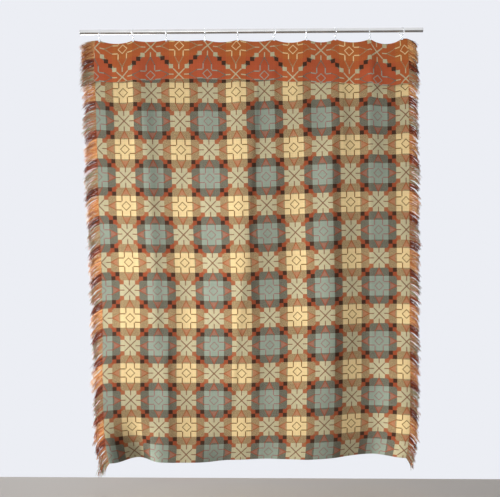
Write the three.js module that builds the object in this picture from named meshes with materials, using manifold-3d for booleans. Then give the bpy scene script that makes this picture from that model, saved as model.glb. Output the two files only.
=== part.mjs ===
// A woven wool blanket hung sideways from a steel rod by clip rings, in millimetres.
// The origin is the middle of the rod's axis, +X is the viewer's right, -Y faces the viewer.
// The top of the cloth is folded forward over itself, so a flap hangs in front of it.

import * as THREE from 'three';
import { mergeVertices } from 'three/addons/utils/BufferGeometryUtils.js';
import Module from 'manifold-3d';

const wasm = await Module();
wasm.setup();

// Gap that a piece keeps to the piece that carries it
const seatGap = 0.35;

// Rod: a steel tube with a plug in each end
const rodLength = 1828;
const rodRadius = 12.5;
const rodWall = 1.5;
const rodSides = 24;
const plugHeadThickness = 3;
const plugSpigotLength = 14;
const plugSpigotRadius = rodRadius - rodWall - seatGap;

// Ring: round wire bent to a closed hoop that hangs on the rod
const ringInnerRadius = 19;
const ringWireRadius = 1.5;
const ringSteps = 20;
const ringWireSides = 6;
const ringRadius = ringInnerRadius + ringWireRadius;
const ringFacetGap = 0.1;

// Link: a small wire loop that joins the ring to its clip
const linkInnerRadius = 3.2;
const linkWireRadius = 0.8;
const linkSteps = 12;
const linkWireSides = 4;
const linkRadius = linkInnerRadius + linkWireRadius;
const linkFacetGap = 0.22;

// Clip: a bent spring plate, with an eye above and two jaws that hold the folded edge
const clipWidth = 10;
const clipEyeRadius = 2;
const clipEyeWall = 1.4;
const clipEyePlate = 1.6;
const clipEyeSink = 1;
const clipNeckHalfWidth = 2.2;
const clipShoulderHalfWidth = 6.4;
const clipJawThickness = 1.2;
const clipJawLength = 9;
const clipGripGap = 0.7;
const clipNeckDrop = 4.4;
const clipShoulderDrop = 8;
const clipRoundSteps = 6;

// Cloth, by its flat size: across from the left edge, along from the flap's edge to the hem
const clothWidth = 1690;
const clothLength = 2514;
const clothThickness = 2.5;
const clothTop = -44;
const foldRadiusAtClip = 2.6;
const foldRadiusBetween = 4;
const sagFadeLength = 350;
const edgeDropReach = 130;

// Where each clip holds the cloth, how its ring is turned, and how far the edge sags after it
const clips = [
  { across: 25, turn: 14, sagAfter: 18 },
  { across: 209, turn: -8, sagAfter: 9 },
  { across: 386, turn: 6, sagAfter: 5 },
  { across: 591, turn: 12, sagAfter: 13 },
  { across: 769, turn: -5, sagAfter: 11 },
  { across: 962, turn: 22, sagAfter: 18 },
  { across: 1138, turn: -10, sagAfter: 17 },
  { across: 1295, turn: 8, sagAfter: 18 },
  { across: 1483, turn: -18, sagAfter: 28 },
  { across: 1662, turn: 26, sagAfter: 20 },
];

// How long the flap is, and how far its edge stands from the cloth behind it
const flapShape = [
  { across: 0, length: 218, apart: 13 },
  { across: 120, length: 214, apart: 11 },
  { across: 260, length: 209, apart: 9 },
  { across: 600, length: 205, apart: 11 },
  { across: 900, length: 212, apart: 9 },
  { across: 1330, length: 229, apart: 12 },
  { across: clothWidth, length: 238, apart: 15 },
];

// Heights down the hanging cloth at which the folds below give a depth, which is 0 at the top
const levels = [
  { name: 'upper', down: 0.25 },
  { name: 'middle', down: 0.5 },
  { name: 'low', down: 0.72 },
  { name: 'foot', down: 0.9 },
  { name: 'hem', down: 1 },
];

// Crest and trough lines, from their place across the top to their place across the hem.
// A depth is positive towards the wall and negative towards the viewer.
const folds = [
  { name: 'left edge', from: 0, to: 0, upper: 0, middle: 4, low: 0, foot: -18, hem: -40 },
  { name: 'left hollow', from: 160, to: 180, upper: -5, middle: -9, low: -7, foot: -1, hem: 44 },
  { name: 'left ridge', from: 265, to: 320, upper: -11, middle: -15, low: -11, foot: -5, hem: -14 },
  { name: 'left trough', from: 395, to: 480, upper: -9, middle: -9, low: -4, foot: 3, hem: -10 },
  { name: 'centre ridge', from: 870, to: 700, upper: -23, middle: -28, low: -20, foot: -2, hem: 24 },
  { name: 'right hollow', from: 1140, to: 900, upper: -16, middle: -15, low: -11, foot: -7, hem: 26 },
  { name: 'right ridge', from: 1265, to: 1190, upper: -18, middle: -23, low: -20, foot: -19, hem: -4 },
  { name: 'right trough', from: 1450, to: 1490, upper: -9, middle: -5, low: 9, foot: 12, hem: 52 },
  {
    name: 'right edge', from: clothWidth, to: clothWidth,
    upper: 0, middle: 0, low: 0, foot: -22, hem: -4,
  },
];

// How far the left edge, the middle and the right edge hang to the right at each level down,
// and how much lower the two edges hang than their folds alone would let them
const hangings = [
  { down: 0, left: -9, middle: -1, right: 6, leftDrop: 0, rightDrop: 0 },
  { down: 0.07, left: -2, middle: 2, right: 4, leftDrop: 0, rightDrop: 0 },
  { down: 0.14, left: 4, middle: 5, right: 3, leftDrop: 0, rightDrop: 0 },
  { down: 0.27, left: 11, middle: 13, right: 8, leftDrop: 2, rightDrop: 2 },
  { down: 0.4, left: 14, middle: 19, right: 12, leftDrop: 6, rightDrop: 5 },
  { down: 0.53, left: 22, middle: 29, right: 19, leftDrop: 12, rightDrop: 8 },
  { down: 0.66, left: 23, middle: 35, right: 23, leftDrop: 16, rightDrop: 9 },
  { down: 0.79, left: 20, middle: 32, right: 28, leftDrop: 18, rightDrop: 8 },
  { down: 0.92, left: 25, middle: 28, right: 29, leftDrop: 14, rightDrop: 6 },
  { down: 1, left: 29, middle: 36, right: 41, leftDrop: 6, rightDrop: 3 },
];

// Mesh steps of the cloth
const stepsBetweenClips = 6;
const flapSteps = 5;
const foldSteps = 4;
const frontSteps = 20;

// Fringe: locks of loose warp ends that grow from a narrow strip along each side edge
const stripGap = 0.65;
const stripWidth = 4;
const stripHalfThickness = 1;
const lockPitch = 33;
const lockRootWidth = 15;
const lockSections = [
  { reach: 0.34, width: 0.8, thickness: 1.2, bend: -16 },
  { reach: 0.74, width: 0.5, thickness: 0.8, bend: 4 },
  { reach: 1, width: 0, thickness: 0, bend: 20 },
];
const lockLengthSpread = 0.12;
const lockLengthStep = 3.7;
const lockDroopSpread = 4;
const lockDroopStep = 0.85;
const lockSwayBelowFlap = 3;
const lockSwayAtFlap = 1;
const lockFreeDrop = 350;

// How the locks hang on each side, from the top to the hem
const fringeHang = {
  left: [
    { down: 0, droop: 32, length: 78 },
    { down: 0.5, droop: 44, length: 80 },
    { down: 1, droop: 58, length: 76 },
  ],
  right: [
    { down: 0, droop: 46, length: 62 },
    { down: 0.5, droop: 38, length: 64 },
    { down: 1, droop: 60, length: 66 },
  ],
};

const steel = { color: 0xc2c3c1, roughness: 0.32, metalness: 1 };
const chrome = { color: 0xd6d8d8, roughness: 0.16, metalness: 1 };
const cloth = { color: 0xa98a67, roughness: 0.95, metalness: 0 };
const yarn = { color: 0x9c7552, roughness: 0.95, metalness: 0 };

const mix = THREE.MathUtils.lerp;
const radians = THREE.MathUtils.degToRad;
const down = new THREE.Vector3(0, 0, -1);

const group = new THREE.Group();

function addMesh(name, geometry, look) {
  const mesh = new THREE.Mesh(geometry, new THREE.MeshStandardMaterial(look));
  mesh.name = name;
  group.add(mesh);
  return mesh;
}

// A smooth curve through the rows of a table, from one of its columns to another
function smoothValue(rows, from, to, at) {
  const last = rows.length - 1;
  const slope = (index) => {
    const before = rows[Math.max(index - 1, 0)];
    const after = rows[Math.min(index + 1, last)];
    return (after[to] - before[to]) / (after[from] - before[from]);
  };
  let start = 0;
  while (start < last - 1 && rows[start + 1][from] < at) {
    start += 1;
  }
  const [low, high] = [rows[start], rows[start + 1]];
  const span = high[from] - low[from];
  const t = THREE.MathUtils.clamp((at - low[from]) / span, 0, 1);
  const ease = t * t * (3 - 2 * t);
  const bow = t * (1 - t) * span * ((1 - t) * slope(start) - t * slope(start + 1));
  return mix(low[to], high[to], ease) + bow;
}

// Depth of the hanging cloth behind the fold's plane
function foldDepth(across, downShare) {
  const lines = folds.map((fold) => {
    const depths = levels.map((level) => ({ down: level.down, depth: fold[level.name] }));
    return {
      across: mix(fold.from, fold.to, downShare),
      depth: smoothValue([{ down: 0, depth: 0 }, ...depths], 'down', 'depth', downShare),
    };
  });
  let left = 0;
  while (left < lines.length - 2 && lines[left + 1].across < across) {
    left += 1;
  }
  const share = (across - lines[left].across) / (lines[left + 1].across - lines[left].across);
  return mix(lines[left].depth, lines[left + 1].depth, THREE.MathUtils.smoothstep(share, 0, 1));
}

// How far a place on the cloth hangs to the right, where side goes from -1 to 1 across it
function hangAside(downShare, side) {
  const at = (edge) => smoothValue(hangings, 'down', edge, downShare);
  const [left, middle, right] = [at('left'), at('middle'), at('right')];
  return middle + (side * (right - left)) / 2 + side * side * ((left + right) / 2 - middle);
}

// How much lower a place near a side edge hangs
function edgeDrop(downShare, across) {
  const at = (edge) => smoothValue(hangings, 'down', edge, downShare);
  const left = at('leftDrop') * Math.exp(-across / edgeDropReach);
  return left + at('rightDrop') * Math.exp((across - clothWidth) / edgeDropReach);
}

// Shape of the top edge between two clips: away is 0 at a clip and 1 half way to the next
function spanShape(across) {
  const lastSpan = clips.length - 2;
  let index = 0;
  while (index < lastSpan && clips[index + 1].across < across) {
    index += 1;
  }
  const half = (clips[index + 1].across - clips[index].across) / 2;
  const offset = (across - clips[index].across - half) / half;
  const away = Math.max(1 - offset * offset, 0);
  return { away, sag: clips[index].sagAfter * away };
}

// One column of the cloth: its own fold radius, flap length and fold height
function columnShape(across) {
  const { away, sag } = spanShape(across);
  const radius = mix(foldRadiusAtClip, foldRadiusBetween, away);
  const quarterTurn = (Math.PI / 2) * radius;
  const flap = smoothValue(flapShape, 'across', 'length', across);
  return {
    across,
    radius,
    sag,
    apart: smoothValue(flapShape, 'across', 'apart', across),
    flapDrop: flap - quarterTurn,
    frontDrop: clothLength - flap - quarterTurn,
    foldCentre: clothTop - clothThickness / 2 - radius,
  };
}

// The rows of the cloth, from the flap's edge up, over the fold and down to the hem
const rows = [];
for (let step = flapSteps; step > 0; step -= 1) {
  rows.push({ part: 'flap', share: step / flapSteps });
}
for (let step = 0; step <= foldSteps; step += 1) {
  rows.push({ part: 'fold', turn: Math.PI * (step / foldSteps - 0.5) });
}
for (let step = 1; step <= frontSteps; step += 1) {
  rows.push({ part: 'front', share: step / frontSteps });
}

// Depth, drop below the fold and sag of one column at one row
function columnPoint(column, row) {
  if (row.part === 'fold') {
    return {
      y: column.radius * Math.sin(row.turn),
      drop: -column.radius * Math.cos(row.turn),
      sag: column.sag,
      downShare: 0,
    };
  }
  const isFlap = row.part === 'flap';
  const drop = row.share * (isFlap ? column.flapDrop : column.frontDrop);
  const downShare = drop / column.frontDrop;
  const behind = column.radius + foldDepth(column.across, downShare);
  const apart = isFlap ? mix(2 * column.radius, column.apart, row.share) : 0;
  return {
    y: behind - apart,
    drop,
    sag: column.sag * Math.exp(-drop / sagFadeLength),
    downShare,
  };
}

const stops = [0];
clips.forEach((clip, index) => {
  stops.push(clip.across);
  const next = clips[index + 1];
  for (let step = 1; next && step < stepsBetweenClips; step += 1) {
    stops.push(mix(clip.across, next.across, step / stepsBetweenClips));
  }
});
stops.push(clothWidth);

// The middle surface of the cloth: each row is as long as its folds leave it, then hangs aside
function buildClothGrid() {
  const columns = stops.map(columnShape);
  const points = rows.map((row) => columns.map((column) => columnPoint(column, row)));
  return points.map((line, rowIndex) => {
    const x = [0];
    for (let index = 1; index < line.length; index += 1) {
      const flat = stops[index] - stops[index - 1];
      const deep = line[index].y - line[index - 1].y;
      const lift = line[index].sag - line[index - 1].sag;
      x.push(x[index - 1] + Math.sqrt(flat * flat - deep * deep - lift * lift));
    }
    const half = x[x.length - 1] / 2;
    return line.map((point, index) => {
      const isFront = rows[rowIndex].part === 'front';
      const shortfall = isFront ? hangShortfall(points, rowIndex, index) : 0;
      const lower = point.sag + edgeDrop(point.downShare, stops[index]) - shortfall;
      const aside = hangAside(point.downShare, x[index] / half - 1);
      const z = columns[index].foldCentre - point.drop - lower;
      return new THREE.Vector3(x[index] - half + aside, point.y, z);
    });
  });
}

// How much a slanting fold lifts a point above where a straight drop would put it
function hangShortfall(points, rowIndex, index) {
  let lift = 0;
  const firstFront = rows.findIndex((row) => row.part === 'front');
  for (let row = firstFront; row <= rowIndex; row += 1) {
    const drop = points[row][index].drop - points[row - 1][index].drop;
    const deep = points[row][index].y - points[row - 1][index].y;
    lift += drop - Math.sqrt(Math.max(drop * drop - deep * deep, 0));
  }
  return lift;
}

const grid = buildClothGrid();
const lastColumn = stops.length - 1;
const lastRow = rows.length - 1;

function towardsNextColumn(row, column) {
  const before = grid[row][Math.max(column - 1, 0)];
  const after = grid[row][Math.min(column + 1, lastColumn)];
  return after.clone().sub(before).normalize();
}

function towardsNextRow(row, column) {
  const before = grid[Math.max(row - 1, 0)][column];
  const after = grid[Math.min(row + 1, lastRow)][column];
  return after.clone().sub(before).normalize();
}

// Direction out of the reverse side, which is the outside of the fold
function reverseNormal(row, column) {
  return towardsNextColumn(row, column).cross(towardsNextRow(row, column)).normalize();
}

// Collects corners and faces of a closed form
class FaceList {
  constructor() {
    this.positions = [];
    this.indices = [];
  }

  point(vector) {
    this.positions.push(vector.x, vector.y, vector.z);
    return this.positions.length / 3 - 1;
  }

  triangle(a, b, c) {
    this.indices.push(a, b, c);
  }

  quad(a, b, c, d) {
    this.triangle(a, b, c);
    this.triangle(a, c, d);
  }

  geometry(flipped = false) {
    const result = new THREE.BufferGeometry();
    const order = flipped ? this.indices.slice().reverse() : this.indices;
    result.setAttribute('position', new THREE.Float32BufferAttribute(this.positions, 3));
    result.setIndex(order);
    return result;
  }
}

// The blanket: one sheet with the same thickness all over
function buildBlanket() {
  const faces = new FaceList();
  const side = (sign) => grid.map((line, row) => line.map((point, column) => (
    faces.point(point.clone().addScaledVector(reverseNormal(row, column), (sign * clothThickness) / 2))
  )));
  const back = side(1);
  const front = side(-1);
  for (let row = 0; row < lastRow; row += 1) {
    for (let column = 0; column < lastColumn; column += 1) {
      const [b, c] = [back[row], back[row + 1]];
      const [f, g] = [front[row], front[row + 1]];
      faces.quad(b[column], b[column + 1], c[column + 1], c[column]);
      faces.quad(f[column], g[column], g[column + 1], f[column + 1]);
    }
  }
  const rim = (edge) => {
    for (let index = 0; index < edge.length - 1; index += 1) {
      const [here, next] = [edge[index], edge[index + 1]];
      faces.quad(here.back, next.back, next.front, here.front);
    }
  };
  const corner = (row, column) => ({ back: back[row][column], front: front[row][column] });
  const acrossRow = (row) => stops.map((stop, column) => corner(row, column));
  const downColumn = (column) => rows.map((line, row) => corner(row, column));
  rim(acrossRow(0).reverse());
  rim(acrossRow(lastRow));
  rim(downColumn(0));
  rim(downColumn(lastColumn).reverse());
  return faces.geometry();
}

// Stations along one side edge: even steps on the panels, and the fold's own corners between
function edgeStations(side) {
  const column = side < 0 ? 0 : lastColumn;
  const corners = rows.map((row, index) => ({
    part: row.part,
    point: grid[index][column],
    out: towardsNextColumn(index, column).multiplyScalar(side),
    normal: reverseNormal(index, column),
  }));
  const along = [0];
  for (let index = 1; index < corners.length; index += 1) {
    along.push(along[index - 1] + corners[index].point.distanceTo(corners[index - 1].point));
  }
  const firstFold = corners.findIndex((corner) => corner.part === 'fold');
  const lastFold = firstFold + foldSteps;
  const at = (distance, part, isRoot) => {
    let low = 0;
    while (low < corners.length - 2 && along[low + 1] < distance) {
      low += 1;
    }
    const share = (distance - along[low]) / (along[low + 1] - along[low]);
    return {
      part,
      isRoot,
      point: corners[low].point.clone().lerp(corners[low + 1].point, share),
      out: corners[low].out.clone().lerp(corners[low + 1].out, share).normalize(),
      normal: corners[low].normal.clone().lerp(corners[low + 1].normal, share).normalize(),
    };
  };
  const evenly = (part, from, to) => {
    const count = Math.floor((to - from) / lockPitch);
    const pitch = (to - from) / count;
    const list = [];
    for (let index = 0; index < count; index += 1) {
      const middle = from + (index + 0.5) * pitch;
      list.push(at(middle - lockRootWidth / 2, part, true));
      list.push(at(middle + lockRootWidth / 2, part, false));
    }
    return list;
  };
  const flapList = [at(0, 'flap', false), ...evenly('flap', 0, along[firstFold])];
  const foldCorners = corners.slice(firstFold, lastFold + 1);
  const foldList = foldCorners.map((corner) => ({ ...corner, isRoot: false }));
  const frontList = evenly('front', along[lastFold], along[lastRow]);
  return [...flapList, ...foldList, ...frontList, at(along[lastRow], 'front', false)];
}

// One fringe: a strip along the cloth's edge, with a lock growing out of every other face
function buildFringe(side) {
  const faces = new FaceList();
  const stations = edgeStations(side);
  const hang = side < 0 ? fringeHang.left : fringeHang.right;
  const corner = (station, outwards, sign) => (
    station.point.clone()
      .addScaledVector(station.out, outwards)
      .addScaledVector(station.normal, sign * stripHalfThickness)
  );
  const sections = stations.map((station) => [
    corner(station, stripGap, 1),
    corner(station, stripGap + stripWidth, 1),
    corner(station, stripGap + stripWidth, -1),
    corner(station, stripGap, -1),
  ]);
  const points = sections.map((section) => section.map((point) => faces.point(point)));
  for (let index = 0; index < stations.length - 1; index += 1) {
    const [here, next] = [points[index], points[index + 1]];
    for (let face = 0; face < 4; face += 1) {
      const after = (face + 1) % 4;
      const isOuter = face === 1;
      if (isOuter && stations[index].isRoot) {
        const [above, below] = [sections[index], sections[index + 1]];
        const rootCorners = [above[1], above[2], below[2], below[1]];
        const root = [here[1], here[2], next[2], next[1]];
        growLock(faces, root, rootCorners, stations[index], index, hang);
      } else {
        faces.quad(here[face], here[after], next[after], next[face]);
      }
    }
  }
  const [first, last] = [points[0], points[points.length - 1]];
  faces.quad(first[0], first[3], first[2], first[1]);
  faces.quad(last[0], last[1], last[2], last[3]);
  return faces.geometry(side < 0);
}

// One lock: it leaves the strip, bends down under its weight and ends in a point
function growLock(faces, root, rootCorners, station, index, hang) {
  const centre = new THREE.Vector3();
  rootCorners.forEach((point) => centre.addScaledVector(point, 0.25));
  const alongEdge = rootCorners[2].clone().sub(rootCorners[1]).normalize();
  const hungLength = clothLength - flapShape[0].length;
  const downShare = THREE.MathUtils.clamp((clothTop - centre.z) / hungLength, 0, 1);
  const stray = lockDroopSpread * Math.sin(index * lockDroopStep);
  const droop = smoothValue(hang, 'down', 'droop', downShare) + stray;
  const evenness = 1 + lockLengthSpread * Math.sin(index * lockLengthStep);
  const length = smoothValue(hang, 'down', 'length', downShare) * evenness;
  const isFree = centre.z < clothTop - lockFreeDrop;
  const sway = (isFree ? lockSwayBelowFlap : lockSwayAtFlap) * Math.cos((index * Math.PI) / 2);
  const normal = station.normal;
  let ring = root;
  let reached = 0;
  for (const section of lockSections) {
    const angle = radians(droop + section.bend);
    const heading = station.out.clone().multiplyScalar(Math.cos(angle));
    heading.addScaledVector(down, Math.sin(angle));
    centre.addScaledVector(heading, (section.reach - reached) * length);
    centre.addScaledVector(normal, sway * (section.reach - reached));
    reached = section.reach;
    if (section.width === 0) {
      const tip = faces.point(centre);
      for (let edge = 0; edge < 4; edge += 1) {
        faces.triangle(ring[edge], ring[(edge + 1) % 4], tip);
      }
      return;
    }
    const across = alongEdge.clone().addScaledVector(heading, -heading.dot(alongEdge)).normalize();
    const halfWidth = (section.width * lockRootWidth) / 2;
    const halfThickness = section.thickness * stripHalfThickness;
    const around = [[-1, 1], [-1, -1], [1, -1], [1, 1]];
    const nextRing = around.map(([wide, thick]) => faces.point(
      centre.clone()
        .addScaledVector(across, wide * halfWidth)
        .addScaledVector(normal, thick * halfThickness),
    ));
    for (let edge = 0; edge < 4; edge += 1) {
      const after = (edge + 1) % 4;
      faces.quad(ring[edge], ring[after], nextRing[after], nextRing[edge]);
    }
    ring = nextRing;
  }
}

// Rod: a tube, drawn as a profile turned about its own axis and laid along X
function buildRod() {
  const bore = rodRadius - rodWall;
  const half = rodLength / 2 - plugHeadThickness - seatGap;
  const profile = [
    new THREE.Vector2(bore, -half),
    new THREE.Vector2(rodRadius, -half),
    new THREE.Vector2(rodRadius, half),
    new THREE.Vector2(bore, half),
    new THREE.Vector2(bore, -half),
  ];
  return new THREE.LatheGeometry(profile, rodSides);
}

// End plug: a flat head as wide as the rod, with a spigot inside the tube
function buildPlug() {
  const profile = [
    new THREE.Vector2(0, -plugSpigotLength),
    new THREE.Vector2(plugSpigotRadius, -plugSpigotLength),
    new THREE.Vector2(plugSpigotRadius, 0),
    new THREE.Vector2(rodRadius, 0),
    new THREE.Vector2(rodRadius, plugHeadThickness),
    new THREE.Vector2(0, plugHeadThickness),
  ];
  return new THREE.LatheGeometry(profile, rodSides);
}

// Heights of the hanging pieces, each from the one that carries it
const ringCentre = rodRadius + seatGap + ringFacetGap - ringInnerRadius;
const ringWireTop = ringCentre - ringRadius + ringWireRadius;
const linkCentre = ringWireTop + seatGap - linkInnerRadius;
const eyeCentre = linkCentre - linkInnerRadius + seatGap + linkFacetGap - clipEyeRadius;
const clipRoof = clothTop + 2 * seatGap;
const clipJawHalfGap = foldRadiusAtClip + clothThickness / 2 + clipGripGap;

function toManifold(geometry) {
  const bare = geometry.clone();
  bare.deleteAttribute('normal');
  bare.deleteAttribute('uv');
  const merged = mergeVertices(bare, 1e-4);
  return new wasm.Manifold(new wasm.Mesh({
    numProp: 3,
    vertProperties: Float32Array.from(merged.attributes.position.array),
    triVerts: Uint32Array.from(merged.index.array),
  }));
}

function fromManifold(solid) {
  const { vertProperties, triVerts } = solid.getMesh();
  const geometry = new THREE.BufferGeometry();
  geometry.setAttribute('position', new THREE.Float32BufferAttribute(vertProperties, 3));
  geometry.setIndex(Array.from(triVerts));
  return geometry;
}

// A shape drawn in the plane of Y and Z, made as thick as told along X and centred on it
function extrudeAlongX(shape, width) {
  const geometry = new THREE.ExtrudeGeometry(shape, {
    depth: width,
    bevelEnabled: false,
    curveSegments: clipRoundSteps,
  });
  geometry.translate(0, 0, -width / 2);
  geometry.rotateY(Math.PI / 2);
  geometry.rotateX(Math.PI / 2);
  return geometry;
}

// Clip: the eye plate and the bent spring plate, joined at the neck
function buildClip() {
  const eye = new THREE.Shape();
  const eyeOuter = clipEyeRadius + clipEyeWall;
  const neckTop = eyeCentre - clipNeckDrop + clipEyeRadius;
  eye.moveTo(-eyeOuter, neckTop - clipEyeSink);
  eye.lineTo(eyeOuter, neckTop - clipEyeSink);
  eye.absarc(0, eyeCentre, eyeOuter, 0, Math.PI, false);
  const hole = new THREE.Path();
  hole.absarc(0, eyeCentre, clipEyeRadius, 0, 2 * Math.PI, true);
  eye.holes.push(hole);

  const shoulder = eyeCentre - clipShoulderDrop;
  const jawTip = clipRoof - clipJawLength;
  const jawOuter = clipJawHalfGap + clipJawThickness;
  const plate = new THREE.Shape();
  plate.moveTo(clipNeckHalfWidth, neckTop);
  plate.lineTo(-clipNeckHalfWidth, neckTop);
  plate.lineTo(-clipShoulderHalfWidth, shoulder);
  plate.lineTo(-jawOuter, jawTip);
  plate.lineTo(-clipJawHalfGap, jawTip);
  plate.lineTo(-clipJawHalfGap, clipRoof);
  plate.lineTo(clipJawHalfGap, clipRoof);
  plate.lineTo(clipJawHalfGap, jawTip);
  plate.lineTo(jawOuter, jawTip);
  plate.lineTo(clipShoulderHalfWidth, shoulder);
  plate.closePath();
  const window = new THREE.Path();
  window.moveTo(0, neckTop - 3 * clipJawThickness);
  window.lineTo(clipShoulderHalfWidth - 2 * clipJawThickness, shoulder);
  window.lineTo(clipShoulderHalfWidth - 2 * clipJawThickness, clipRoof + clipJawThickness);
  window.lineTo(2 * clipJawThickness - clipShoulderHalfWidth, clipRoof + clipJawThickness);
  window.lineTo(2 * clipJawThickness - clipShoulderHalfWidth, shoulder);
  window.closePath();
  plate.holes.push(window);

  const eyeSolid = toManifold(extrudeAlongX(eye, clipEyePlate));
  const plateSolid = toManifold(extrudeAlongX(plate, clipWidth));
  return fromManifold(eyeSolid.add(plateSolid));
}

// Place along X where a clip holds the fold of the cloth
function clipPlace(clip) {
  const foldTopRow = rows.findIndex((row) => row.part === 'fold') + foldSteps / 2;
  return grid[foldTopRow][stops.indexOf(clip.across)].x;
}

const rod = addMesh('rod', buildRod(), steel);
rod.rotation.z = -Math.PI / 2;
for (const [name, sign] of [['rod_plug_left', -1], ['rod_plug_right', 1]]) {
  const plug = addMesh(name, buildPlug(), steel);
  plug.rotation.z = (-sign * Math.PI) / 2;
  plug.position.x = sign * (rodLength / 2 - plugHeadThickness);
}

const clipGeometry = buildClip();
clips.forEach((clip, index) => {
  const number = String(index + 1).padStart(2, '0');
  const place = clipPlace(clip);
  const ring = addMesh(
    `ring_${number}`,
    new THREE.TorusGeometry(ringRadius, ringWireRadius, ringWireSides, ringSteps),
    chrome,
  );
  ring.rotation.set(Math.PI / 2, 0, Math.PI / 2 + radians(clip.turn), 'ZYX');
  ring.position.set(place, 0, ringCentre);
  const link = addMesh(
    `link_${number}`,
    new THREE.TorusGeometry(linkRadius, linkWireRadius, linkWireSides, linkSteps),
    chrome,
  );
  link.rotation.x = Math.PI / 2;
  link.position.set(place, 0, linkCentre);
  const clipMesh = addMesh(`clip_${number}`, clipGeometry.clone(), chrome);
  clipMesh.position.x = place;
});

addMesh('blanket', buildBlanket(), cloth);
addMesh('fringe_left', buildFringe(-1), yarn);
addMesh('fringe_right', buildFringe(1), yarn);

export default group;
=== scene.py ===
import math

import bpy
import numpy as np
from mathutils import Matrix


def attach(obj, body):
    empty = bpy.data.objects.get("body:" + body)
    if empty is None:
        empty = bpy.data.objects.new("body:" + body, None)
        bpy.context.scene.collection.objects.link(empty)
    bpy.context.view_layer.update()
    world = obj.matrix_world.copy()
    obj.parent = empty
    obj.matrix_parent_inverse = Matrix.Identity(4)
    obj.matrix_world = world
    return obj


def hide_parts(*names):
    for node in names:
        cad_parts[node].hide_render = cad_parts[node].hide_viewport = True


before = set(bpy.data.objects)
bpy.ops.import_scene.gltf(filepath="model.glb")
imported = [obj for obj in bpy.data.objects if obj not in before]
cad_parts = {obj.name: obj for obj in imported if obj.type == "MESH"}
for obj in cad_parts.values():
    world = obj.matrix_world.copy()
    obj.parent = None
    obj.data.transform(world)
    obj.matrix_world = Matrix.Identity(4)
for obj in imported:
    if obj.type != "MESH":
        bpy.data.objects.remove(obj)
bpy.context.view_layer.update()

# A Welsh double-woven wool blanket, hung sideways from a steel rod by ten clip rings.
# Lengths are in millimetres here and turned to Blender's metres where a mesh is made.
# The origin is the middle of the rod's axis, +X is the viewer's right, -Y faces the viewer.
METRES = 0.001
rng = np.random.default_rng(54)

# Camera: the photograph's place and lens, for a picture of 500 by 497
CAMERA_PLACE = (42, -3164, -983.2)
CAMERA_TURN = 0.86
CAMERA_PITCH = -3.21
CAMERA_ROLL = 0.12
FOCAL_PIXELS = 582.2
PICTURE_WIDTH = 500
SENSOR_WIDTH = 36

# Rod, rings, links and clips, by the solids that they refine. Heights are from the rod's axis.
ROD_LENGTH = 1828
ROD_RADIUS = 12.5
ROD_WALL = 1.5
ROD_CHAMFER = 0.4
PLUG_HEAD = 3
PLUG_SPIGOT = 14
PLUG_LEAD = 0.6
PLUG_ROUND = 0.8
SEAT_GAP = 0.35
RING_RADIUS = 20.5
RING_WIRE = 1.5
RING_CENTRE = -6.05
LINK_RADIUS = 4
LINK_WIRE = 0.8
LINK_CENTRE = -27.9
CLIP_EYE_CENTRE = -32.53
CLIP_EYE_RADIUS = 2.7
CLIP_EYE_WIRE = 0.75
CLIP_ROOF = -43.3
CLIP_ROOF_HALF_WIDTH = 4.4
CLIP_THICKNESS = 1.2
CLIP_JAW_MIDDLE = 5.15
CLIP_JAW_LENGTH = 9
TURNED_STEPS = 96
WIRE_STEPS = 18
SHARP_ANGLE = 35

# One leaf of a clip, from the neck down to the lip of its jaw
LEAF = [
    # away from the middle, height, half width
    (0.7, -34.95, 2.4),
    (0.75, -36, 2.6),
    (2.6, -38.2, 3.6),
    (5.1, -40.3, 4.8),
    (5.7, -41.3, 5),
    (5.3, -42.9, 5),
    (CLIP_JAW_MIDDLE, -45, 5),
    (CLIP_JAW_MIDDLE, -49, 5),
    (CLIP_JAW_MIDDLE, CLIP_ROOF - CLIP_JAW_LENGTH, 4.6),
]
LEAF_STEPS = 5

# Cloth, by its flat size: across from the left edge, along from the flap's edge to the hem
CLOTH_WIDTH = 1690
CLOTH_LENGTH = 2514
CLOTH_THICKNESS = 2.5
CLOTH_TOP = -44
FOLD_RADIUS_AT_CLIP = 2.6
FOLD_RADIUS_BETWEEN = 4
SAG_FADE_LENGTH = 350
EDGE_DROP_REACH = 130

# Where each clip holds the cloth, how its ring is turned, and how far the edge sags after it
CLIPS = [
    # across, turn, sag
    (25, 14, 18),
    (209, -8, 9),
    (386, 6, 5),
    (591, 12, 13),
    (769, -5, 11),
    (962, 22, 18),
    (1138, -10, 17),
    (1295, 8, 18),
    (1483, -18, 28),
    (1662, 26, 20),
]
CLIP_ACROSS, CLIP_TURN, CLIP_SAG = (np.array(column, float) for column in zip(*CLIPS))

# How long the flap is, and how far its edge stands from the cloth behind it
FLAP_SHAPE = [
    # across, length, apart
    (0, 218, 13),
    (120, 214, 11),
    (260, 209, 9),
    (600, 205, 11),
    (900, 212, 9),
    (1330, 229, 12),
    (CLOTH_WIDTH, 238, 15),
]
FLAP_ACROSS, FLAP_LENGTH, FLAP_APART = zip(*FLAP_SHAPE)

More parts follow.
